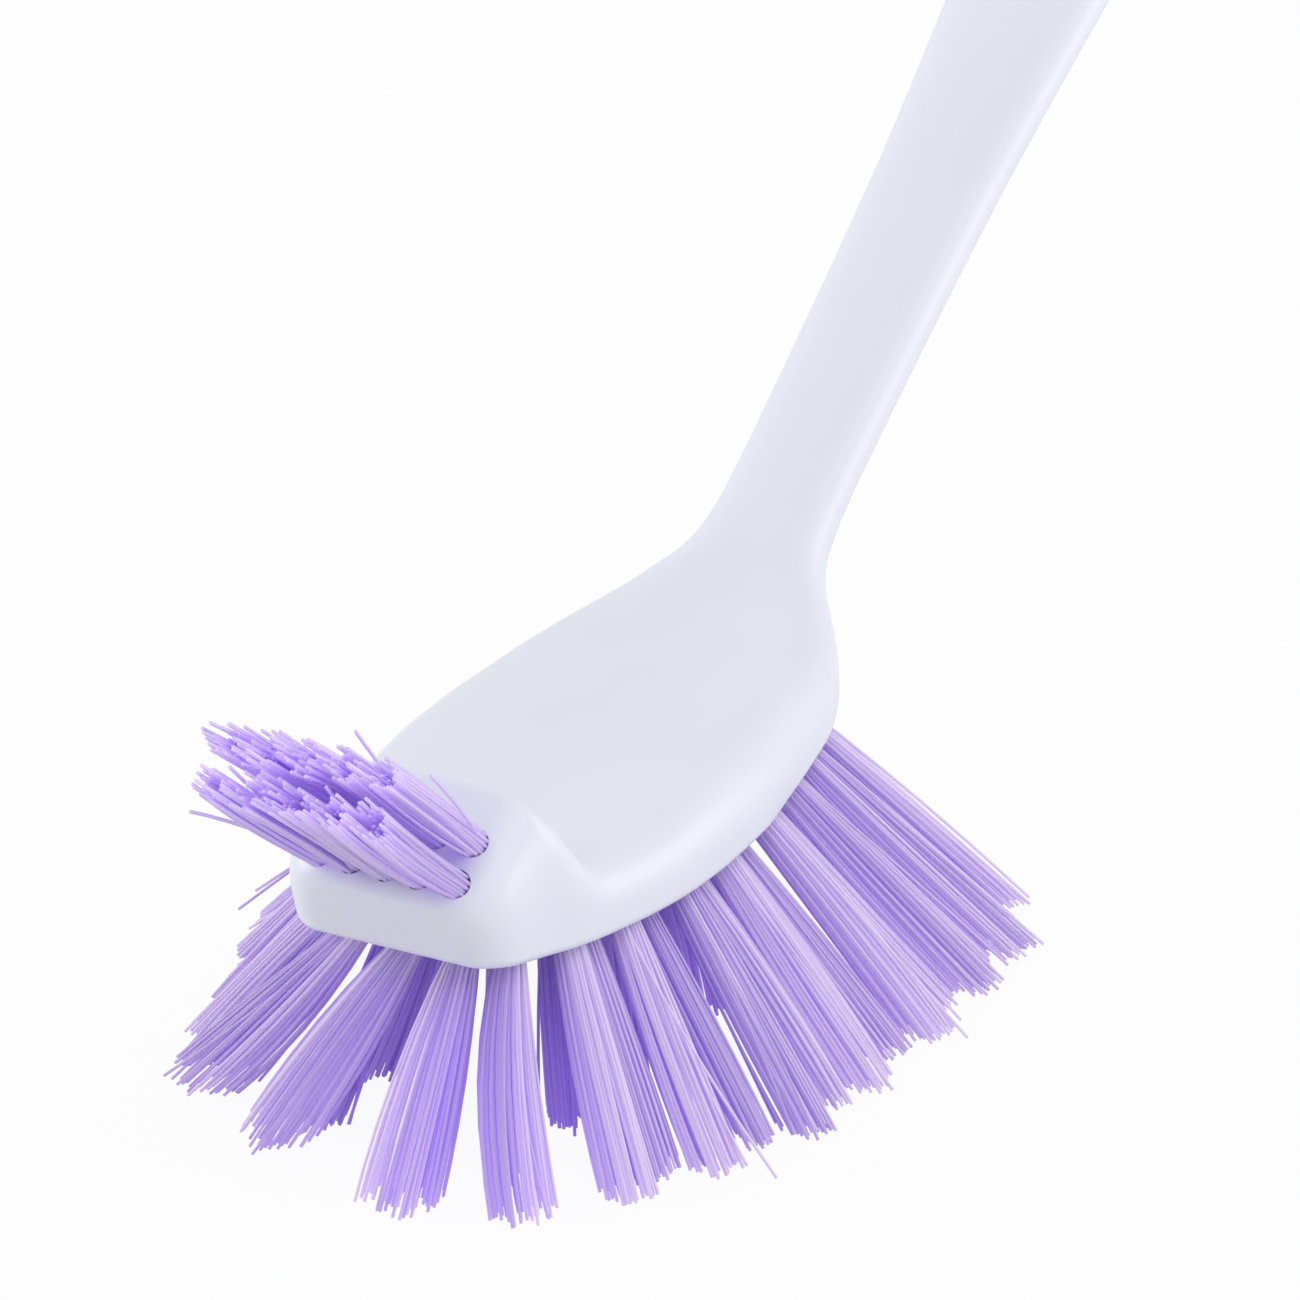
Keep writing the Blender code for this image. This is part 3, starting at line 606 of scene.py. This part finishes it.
def upper_tufts():
    """Name, root on the nose face and tip of every upper tuft."""
    tufts = []
    for row, x in (("front", NOSE_FRONT_ROW), ("rear", NOSE_REAR_ROW)):
        rise = math.tan(FACE_SLOPE) * (x + NOSE_LEAN_SHARE * NOSE_WALL_HEIGHT)
        for number in range(NOSE_COLUMNS):
            y = NOSE_PITCH * (number - (NOSE_COLUMNS - 1) / 2)
            root = Vector((x, y, foot_height() + NOSE_WALL_HEIGHT + rise))
            reach = Vector((-math.cos(NOSE_TUFT_ANGLE), 0.0, math.sin(NOSE_TUFT_ANGLE)))
            tip = root + reach * NOSE_TUFT_LENGTH
            tip.y *= NOSE_FAN_SHARE
            tufts.append((f"tuft_nose_{row}_{number + 1}", root, tip))
    return tufts


def cut(thing, cutter):
    """Cut one mesh out of another for good, and remove the cutter."""
    modifier = thing.modifiers.new("cut", "BOOLEAN")
    modifier.operation = "DIFFERENCE"
    modifier.solver = "EXACT"
    modifier.object = cutter
    graph = bpy.context.evaluated_depsgraph_get()
    mesh = bpy.data.meshes.new_from_object(thing.evaluated_get(graph))
    thing.modifiers.clear()
    thing.data = mesh
    bpy.data.objects.remove(cutter)


def hole_cutters(tufts):
    """One cutter that holds the blind hole of every tuft."""
    form = bmesh.new()
    for _, root, tip in tufts:
        axis = (tip - root).normalized()
        start = root - axis * HOLE_DEPTH
        end = root + axis * CUT_OVERRUN
        bmesh.ops.create_cone(form, cap_ends=True, segments=HOLE_SIDES, radius1=HOLE_RADIUS,
                              radius2=HOLE_RADIUS, depth=(end - start).length,
                              matrix=tilted(axis, (start + end) / 2))
    return mesh_object("tuft_holes", form)


def hang_hole_cutter():
    """Long hole with round ends and softly rounded rims, square to the handle."""
    half = HANDLE_TOP + CUT_OVERRUN
    heights = [(-half, HANG_HOLE_ROUND)]
    for sign in (-1, 1):
        arc = []
        for step in range(HANG_HOLE_STEPS + 1):
            angle = math.pi / 2 * step / HANG_HOLE_STEPS
            height = HANDLE_TOP - HANG_HOLE_ROUND * (1 - math.cos(angle))
            arc.append((sign * height, HANG_HOLE_ROUND * (1 - math.sin(angle))))
        heights += arc if sign < 0 else list(reversed(arc))
    heights.append((half, HANG_HOLE_ROUND))
    radius = HANG_HOLE_WIDTH / 2
    straight = HANG_HOLE_LENGTH / 2 - radius
    rings = []
    for height, grown in heights:
        ring = []
        for end in (1, -1):
            for step in range(HANG_HOLE_SIDES + 1):
                angle = math.pi * (step / HANG_HOLE_SIDES - 0.5)
                ring.append(Vector((end * (straight + (radius + grown) * math.cos(angle)),
                                    end * (radius + grown) * math.sin(angle), height)))
        rings.append(ring)
    cutter = loft("hang_hole", rings)
    turn = Matrix.Rotation(-HANDLE_ANGLE, 4, "Y")
    cutter.matrix_world = Matrix.Translation(handle_point(HANDLE_LENGTH - HANG_HOLE_INSET)) @ turn
    return cutter


def tuft_frame(root, tip):
    """Outward axis of a tuft and two directions across it."""
    axis = (tip - root).normalized()
    across = axis.cross(Vector((1, 0, 0)))
    if across.length < STEEP_SHARE:
        across = axis.cross(Vector((0, 1, 0)))
    across.normalize()
    return axis, across, axis.cross(across)


def spread_out(flat, where, chance):
    """Places across the tip for places across the root, each filament's cluster, and which ones stray."""
    fan = SPREAD_SHARES[where] * (1 + SPREAD_CHANGE_SHARE * chance.uniform(-1, 1, 2))
    far = flat * fan
    reach_share = CLUSTER_REACH_SHARE
    middles = BUNDLE_RADIUS * chance.uniform(-reach_share, reach_share, (CLUSTERS, 2)) * fan
    nearest = np.argmin(((far[:, None] - middles[None]) ** 2).sum(axis=2), axis=1)
    far += (middles[nearest] - far) * CLUSTER_PULL_SHARE
    far += chance.normal(0, TIP_JITTER, far.shape)
    stray = chance.random(len(flat)) < STRAY_CHANCE_SHARE
    far += stray[:, None] * chance.normal(0, STRAY_TIP, far.shape)
    return far, nearest, stray


def lower_stops(near, direction, tip, axis, chance):
    """Where the cut under the head ends each filament, as a share of its way, never below the floor."""
    normal = axis * SQUARE_CUT_SHARE + np.array((0, 0, -1)) * (1 - SQUARE_CUT_SHARE)
    stop = ((tip - near) @ normal) / (direction @ normal)
    floor = (near[:, 2] - FLOOR_CLEARANCE) / -direction[:, 2]
    short = np.abs(chance.normal(0, LOWER_RAGGED, len(near)))
    return np.minimum(stop, floor) - short / np.linalg.norm(direction, axis=1)


def crown_stops(row, radius, direction, chance):
    """Where a nose tuft's filaments end, as shares of their way: short in the middle, and a few long."""
    count = len(radius)
    hollow = CROWN_DEPTH * (1 - (radius / BUNDLE_RADIUS) ** 2)
    longer = chance.normal(CROWN_RISES[row], UPPER_RAGGED, count) - hollow
    longer += (chance.random(count) < LONG_CHANCE_SHARE) * chance.uniform(0, LONG_STRAY, count)
    return 1 + longer / np.linalg.norm(direction, axis=1)


def filament_paths(name, root, tip, where):
    """Centre lines of a tuft's filaments, as an array of filament, place and point, and their tones."""
    chance = np.random.default_rng(sum(ord(letter) * (i + SEED_STEP) for i, letter in enumerate(name)))
    axis, across, along = (np.array(v) for v in tuft_frame(root, tip))
    root, tip = np.array(root), np.array(tip)
    count = FILAMENTS[where]
    number = np.arange(count)
    angle = number * GOLDEN_TURN + chance.uniform(0, 2 * math.pi)
    radius = BUNDLE_RADIUS * np.sqrt((number + 0.5) / count)
    flat = np.stack([radius * np.cos(angle), radius * np.sin(angle)], axis=1)
    flat += chance.normal(0, ROOT_JITTER, flat.shape)
    far, nearest, stray = spread_out(flat, where, chance)

    near = root + flat[:, :1] * across + flat[:, 1:] * along
    direction = tip + far[:, :1] * across + far[:, 1:] * along - near
    if where == "nose":
        stop = crown_stops(name.split("_")[2], radius, direction, chance)
    else:
        stop = lower_stops(near, direction, tip, axis, chance)
    direction = direction * stop[:, None]

    common = chance.normal(0, TUFT_BOW, 2)
    own = chance.normal(0, BOW, (count, 2)) * (1 + STRAY_BOW_SHARE * stray[:, None])
    bend = common + own + FLARES[where] * flat / BUNDLE_RADIUS
    bow = bend[:, :1] * across + bend[:, 1:] * along
    paths = [near - axis * FILAMENT_SINK]
    for place in FILAMENT_PLACE_SHARES:
        paths.append(near + direction * place + bow * 4 * place * (1 - place))
    tones = chance.choice(len(TONES), CLUSTERS, p=TONE_CHANCE_SHARES)[nearest]
    # Painted shade: nose filaments in the sunken core take the deepest tone, and the others take at least
    # the middle one
    if where == "nose":
        tones = np.where(radius < PAINTED_SHADE_CORE_SHARE * BUNDLE_RADIUS, 0, np.maximum(tones, 1))
    return np.stack(paths, axis=1), tones


def bundle_normals(paths, circle):
    """Normals that shade filaments partly as one round bundle, save for far strays."""
    aside = paths - paths.mean(axis=0)
    off = np.linalg.norm(aside, axis=2, keepdims=True)
    spread = np.percentile(off, SPREAD_PERCENTILE, axis=0)
    aside *= np.where(off < STRAY_OFF_SHARE * spread, ROUNDING_SHARE, 0) / np.maximum(off, spread)
    normals = (circle + aside[:, :, None]).reshape(-1, 3)
    return normals / np.linalg.norm(normals, axis=1, keepdims=True)


def tube_quads(start, rings):
    """Side faces of tubes, whose points run round each ring, from every tube's first point."""
    quads = []
    for ring in range(rings - 1):
        for k in range(FILAMENT_SIDES):
            a = start + ring * FILAMENT_SIDES + k
            b = start + ring * FILAMENT_SIDES + (k + 1) % FILAMENT_SIDES
            quads.append(np.stack([a, b, b + FILAMENT_SIDES, a + FILAMENT_SIDES], axis=1))
    return np.concatenate(quads)


def filament_mesh(name, paths, radius, tones, ends):
    """Mesh of round filaments along centre lines, with flat cut ends and a tone for each filament."""
    count, rings, _ = paths.shape
    tangent = np.gradient(paths, axis=1)
    tangent /= np.linalg.norm(tangent, axis=2, keepdims=True)
    side = np.cross(tangent, np.array(SLANTED))
    side /= np.linalg.norm(side, axis=2, keepdims=True)
    other = np.cross(tangent, side)
    turns = 2 * math.pi * np.arange(FILAMENT_SIDES) / FILAMENT_SIDES
    circle = (side[:, :, None] * np.cos(turns)[:, None] + other[:, :, None] * np.sin(turns)[:, None])
    points = (paths[:, :, None] + radius * circle).reshape(-1, 3)

    start = np.arange(count) * rings * FILAMENT_SIDES
    order = np.arange(FILAMENT_SIDES)
    quads = tube_quads(start, rings)
    faces = quads.tolist() + (start[:, None] + order[::-1]).tolist()
    faces += (start[:, None] + (rings - 1) * FILAMENT_SIDES + order).tolist()
    mesh = bpy.data.meshes.new(name)
    mesh.from_pydata(points.tolist(), [], faces)
    mesh.polygons.foreach_set("use_smooth", np.arange(len(faces)) < len(quads))
    slots = np.concatenate([np.tile(tones, (rings - 1) * FILAMENT_SIDES), tones, ends]).astype(np.int32)
    mesh.polygons.foreach_set("material_index", slots)
    mesh.update()
    sides = bundle_normals(paths, circle)[quads.reshape(-1)]
    caps = np.concatenate([-tangent[:, 0], tangent[:, -1]]).repeat(FILAMENT_SIDES, axis=0)
    mesh.normals_split_custom_set(np.concatenate([sides, caps]).tolist())
    return mesh


def new_material(name):
    """New material with its node tree and its Principled shader."""
    material = bpy.data.materials.new(name)
    material.use_nodes = True
    return material, material.node_tree, material.node_tree.nodes["Principled BSDF"]


def noise(tree, vector, scale, detail):
    """Noise over a vector, as a socket."""
    texture = tree.nodes.new("ShaderNodeTexNoise")
    texture.inputs["Scale"].default_value = scale
    texture.inputs["Detail"].default_value = detail
    tree.links.new(vector, texture.inputs["Vector"])
    return texture.outputs["Fac"]


def ranged(tree, value, source, target):
    """Value mapped from one range to another, as a socket."""
    mapped = tree.nodes.new("ShaderNodeMapRange")
    for name, number in zip(("From Min", "From Max", "To Min", "To Max"), (*source, *target)):
        mapped.inputs[name].default_value = number
    tree.links.new(value, mapped.inputs["Value"])
    return mapped.outputs["Result"]


def ramp(tree, value, deep, pale, places=(0.0, 1.0)):
    """Colour from deep to pale between two places of a value, as a socket."""
    colours = tree.nodes.new("ShaderNodeValToRGB")
    for element, place, colour in zip(colours.color_ramp.elements, places, (deep, pale)):
        element.position = place
        element.color = (*colour, 1)
    tree.links.new(value, colours.inputs["Fac"])
    return colours.outputs["Color"]


def mixed(tree, factor, first, second):
    """Mix of two shaders by a socket, or by a plain share, as a socket."""
    mix = tree.nodes.new("ShaderNodeMixShader")
    if isinstance(factor, float):
        mix.inputs["Fac"].default_value = factor
    else:
        tree.links.new(factor, mix.inputs["Fac"])
    tree.links.new(first, mix.inputs[1])
    tree.links.new(second, mix.inputs[2])
    return mix.outputs["Shader"]


def white_plastic():
    """Milky moulded plastic: soft gloss, faint mottling and a hint of surface waviness."""
    material, tree, shader = new_material("white_moulded_plastic")
    place = tree.nodes.new("ShaderNodeTexCoord").outputs["Object"]
    cloud = noise(tree, place, MOTTLE_SCALE, MOTTLE_DETAIL)
    deep = [c * MOTTLE_DEEP_SHARE for c in BODY_COLOUR]
    tree.links.new(ramp(tree, cloud, deep, BODY_COLOUR, MOTTLE_SHARES), shader.inputs["Base Color"])
    tree.links.new(ranged(tree, cloud, (0.0, 1.0), BODY_ROUGHNESSES), shader.inputs["Roughness"])
    bump = tree.nodes.new("ShaderNodeBump")
    bump.inputs["Strength"].default_value = WAVE_SHARE
    bump.inputs["Distance"].default_value = WAVE_DEPTH
    tree.links.new(noise(tree, place, WAVE_SCALE, WAVE_DETAIL), bump.inputs["Height"])
    tree.links.new(bump.outputs["Normal"], shader.inputs["Normal"])
    shader.inputs["Subsurface Weight"].default_value = MILKY_SHARE
    shader.inputs["Subsurface Radius"].default_value = (1.0, 1.0, 1.0)
    shader.inputs["Subsurface Scale"].default_value = MILKY_DEPTH
    shader.inputs["Specular IOR Level"].default_value = SHEEN_SHARE
    return material


def bristle_plastic(name, deep, pale, low, high, rough, tone):
    """Translucent lavender: each filament a little lighter or deeper, and all paler towards high, the
    tips' height. This is painted shade that darkens the filaments towards their roots.
    """
    material, tree, shader = new_material(name)
    island = tree.nodes.new("ShaderNodeNewGeometry")
    place = tree.nodes.new("ShaderNodeTexCoord")
    axes = tree.nodes.new("ShaderNodeSeparateXYZ")
    tree.links.new(place.outputs["Object"], axes.inputs["Vector"])
    # Painted shade: the tone grows paler from the roots' height to the tips', so the filaments are darker
    # under the head and by the nose face
    along = ranged(tree, axes.outputs["Z"], (low, high), (tone, tone + PAINTED_ROOT_SHADE_SHARE))
    blend = tree.nodes.new("ShaderNodeMath")
    blend.operation = "MULTIPLY_ADD"
    blend.inputs[1].default_value = OWN_SHARE
    tree.links.new(island.outputs["Random Per Island"], blend.inputs[0])
    tree.links.new(along, blend.inputs[2])
    colour = ramp(tree, blend.outputs["Value"], deep, pale)
    tree.links.new(colour, shader.inputs["Base Color"])
    shader.inputs["Roughness"].default_value = rough
    through = tree.nodes.new("ShaderNodeBsdfTranslucent")
    tree.links.new(colour, through.inputs["Color"])
    solid = mixed(tree, TRANSLUCENT_SHARE, shader.outputs["BSDF"], through.outputs["BSDF"])
    tree.links.new(lit_through(tree, solid), tree.nodes["Material Output"].inputs["Surface"])
    return material


def lit_through(tree, solid):
    """Shader that lets lamp light, and a share of the light around, go on through a solid one, tinted."""
    clear = tree.nodes.new("ShaderNodeBsdfTransparent")
    clear.inputs["Color"].default_value = (*LIGHT_TINT, 1)
    ray = tree.nodes.new("ShaderNodeLightPath")
    partly = mixed(tree, LIGHT_THROUGH_SHARE, solid, clear.outputs["BSDF"])
    around = mixed(tree, ray.outputs["Is Diffuse Ray"], solid, partly)
    return mixed(tree, ray.outputs["Is Shadow Ray"], around, clear.outputs["BSDF"])


def floor_material():
    """Pale floor that shows as white to the camera and keeps soft shadows."""
    material, tree, unused = new_material("pale_floor")
    tree.nodes.remove(unused)
    surface = tree.nodes.new("ShaderNodeBsdfDiffuse")
    surface.inputs["Color"].default_value = (FLOOR_SHADE, FLOOR_SHADE, FLOOR_SHADE, 1)
    glow = tree.nodes.new("ShaderNodeEmission")
    glow.inputs["Color"].default_value = (1, 1, 1, 1)
    glow.inputs["Strength"].default_value = 1.0
    seen = tree.nodes.new("ShaderNodeLightPath")
    share = tree.nodes.new("ShaderNodeMath")
    share.operation = "MULTIPLY"
    share.inputs[1].default_value = FLOOR_GLOW_SHARE
    tree.links.new(seen.outputs["Is Camera Ray"], share.inputs[0])
    shown = mixed(tree, share.outputs["Value"], surface.outputs["BSDF"], glow.outputs["Emission"])
    tree.links.new(shown, tree.nodes["Material Output"].inputs["Surface"])
    return material


def make_floor():
    """Wide pale floor."""
    form = bmesh.new()
    bmesh.ops.create_grid(form, x_segments=1, y_segments=1, size=FLOOR_SIZE / 2)
    floor = mesh_object("floor", form)
    floor.data.materials.append(floor_material())


def make_world():
    """Even studio light, with a white background to the camera."""
    world = bpy.data.worlds.new("studio")
    bpy.context.scene.world = world
    world.use_nodes = True
    tree = world.node_tree
    light = tree.nodes["Background"]
    light.inputs["Color"].default_value = (1, 1, 1, 1)
    light.inputs["Strength"].default_value = WORLD_STRENGTH
    white = tree.nodes.new("ShaderNodeBackground")
    white.inputs["Color"].default_value = (1, 1, 1, 1)
    white.inputs["Strength"].default_value = 1.0
    seen = tree.nodes.new("ShaderNodeLightPath")
    shown = mixed(tree, seen.outputs["Is Camera Ray"],
                  light.outputs["Background"], white.outputs["Background"])
    tree.links.new(shown, tree.nodes["World Output"].inputs["Surface"])


def make_lamp(name, place, size, power):
    """Round lamp that points at the brush."""
    lamp = bpy.data.lights.new(name, "AREA")
    lamp.shape = "DISK"
    lamp.size = size
    lamp.energy = power
    thing = bpy.data.objects.new(name, lamp)
    thing.location = place
    thing.rotation_mode = "QUATERNION"
    thing.rotation_quaternion = (-Vector(place)).to_track_quat("-Z", "Y")
    bpy.context.scene.collection.objects.link(thing)


def make_camera(shift):
    """Camera at the photograph's angle, placed so that a point by the nose falls on its pixel."""
    back = Vector((math.sin(CAMERA_AZIMUTH) * math.cos(CAMERA_ELEVATION),
                   -math.cos(CAMERA_AZIMUTH) * math.cos(CAMERA_ELEVATION), math.sin(CAMERA_ELEVATION)))
    right = Vector((math.cos(CAMERA_AZIMUTH), math.sin(CAMERA_AZIMUTH), 0.0))
    up = back.cross(right)
    target = Vector((shift + TARGET_AHEAD, 0.0, TARGET_HEIGHT))
    across = (PHOTO_SIDE / 2 - TARGET_PIXEL[0]) / PIXELS_PER_METRE
    above = (TARGET_PIXEL[1] - PHOTO_SIDE / 2) / PIXELS_PER_METRE
    data = bpy.data.cameras.new("camera")
    data.sensor_width = SENSOR_WIDTH
    data.lens = SENSOR_WIDTH * PIXELS_PER_METRE * CAMERA_DISTANCE / PHOTO_SIDE
    camera = bpy.data.objects.new("camera", data)
    bpy.context.scene.collection.objects.link(camera)
    camera.matrix_world = Matrix((right, up, back)).transposed().to_4x4()
    camera.location = target + right * across + up * above + back * CAMERA_DISTANCE
    bpy.context.scene.camera = camera


def make_body(tufts, material, shift):
    """The moulding with its tuft holes and its hang hole."""
    body = loft("moulded_body", body_rings())
    cut(body, hole_cutters(tufts))
    cut(body, hang_hole_cutter())
    body.data.shade_smooth()
    body.data.set_sharp_from_angle(angle=SHARP_ANGLE)
    body.data.transform(Matrix.Translation((shift, 0, 0)))
    body.data.materials.clear()
    body.data.materials.append(material)
    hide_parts("head_and_handle")
    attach(body, "root")


def make_tuft(name, root, tip, materials, shift):
    """One tuft of filaments. Its materials are the tones and then the cut end's, painted paler as a
    highlight, not used on the nose.
    """
    where = "front" if name in FRONT_TUFTS else next(w for w in ("nose", "left", "right") if w in name)
    upright = Vector((root.x - tip.x, root.y - tip.y, 0.0)) * UPRIGHT_SHARES.get(name, 0.0)
    paths, tones = filament_paths(name, root, tip + upright, where)
    # The lower tufts' cut ends take the paler end material, a painted highlight; the nose's cut ends keep
    # their filaments' tones
    ends = tones if where == "nose" else np.full(len(tones), len(TONES))
    mesh = filament_mesh(name.replace("tuft", "bristles"), paths, FILAMENT_RADII[where], tones, ends)
    mesh.transform(Matrix.Translation((shift, 0, 0)))
    for material in materials:
        mesh.materials.append(material)
    tuft = bpy.data.objects.new(mesh.name, mesh)
    bpy.context.scene.collection.objects.link(tuft)
    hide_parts(name)
    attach(tuft, "root")


def make_tufts(where, tufts, shift):
    """The lower or the upper tufts, in materials of their own."""
    # Heights of the first tuft's root and tip, across which the filaments' painted shade runs from dark to
    # pale
    root, tip = tufts[0][1].z, tufts[0][2].z
    materials = []
    for number, tone in enumerate(TONES):
        materials.append(bristle_plastic(f"lavender_filament_{where}_{number}", BRISTLE_DEEP, BRISTLE_PALE,
                                         root, tip, FILAMENT_ROUGHNESS, tone))
    materials.append(bristle_plastic(f"lavender_cut_end_painted_highlight_{where}", END_HIGHLIGHT_DEEP, END_HIGHLIGHT_PALE,
                                     root, tip, END_ROUGHNESS, TONES[1]))
    for name, root, tip in tufts:
        make_tuft(name, root, tip, materials, shift)


def main():
    """The whole scene, shifted so that the handle's end meets the frame's."""
    handle_end = max(point.x for ring in body_rings()[-END_ARC_STEPS:] for point in ring)
    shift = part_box("head_and_handle")[1].x - handle_end
    lower, upper = lower_tufts(), upper_tufts()
    make_body(lower + upper, white_plastic(), shift)
    make_tufts("lower", lower, shift)
    make_tufts("upper", upper, shift)
    make_floor()
    make_world()
    make_lamp("key", KEY_PLACE, KEY_SIZE, KEY_POWER)
    make_lamp("fill", FILL_PLACE, FILL_SIZE, FILL_POWER)
    make_lamp("left", LEFT_PLACE, LEFT_SIZE, LEFT_POWER)
    make_camera(shift)
    bpy.context.scene.view_settings.view_transform = "Standard"
    bpy.context.scene.cycles.transparent_max_bounces = LIGHT_THROUGH_DEPTH


main()
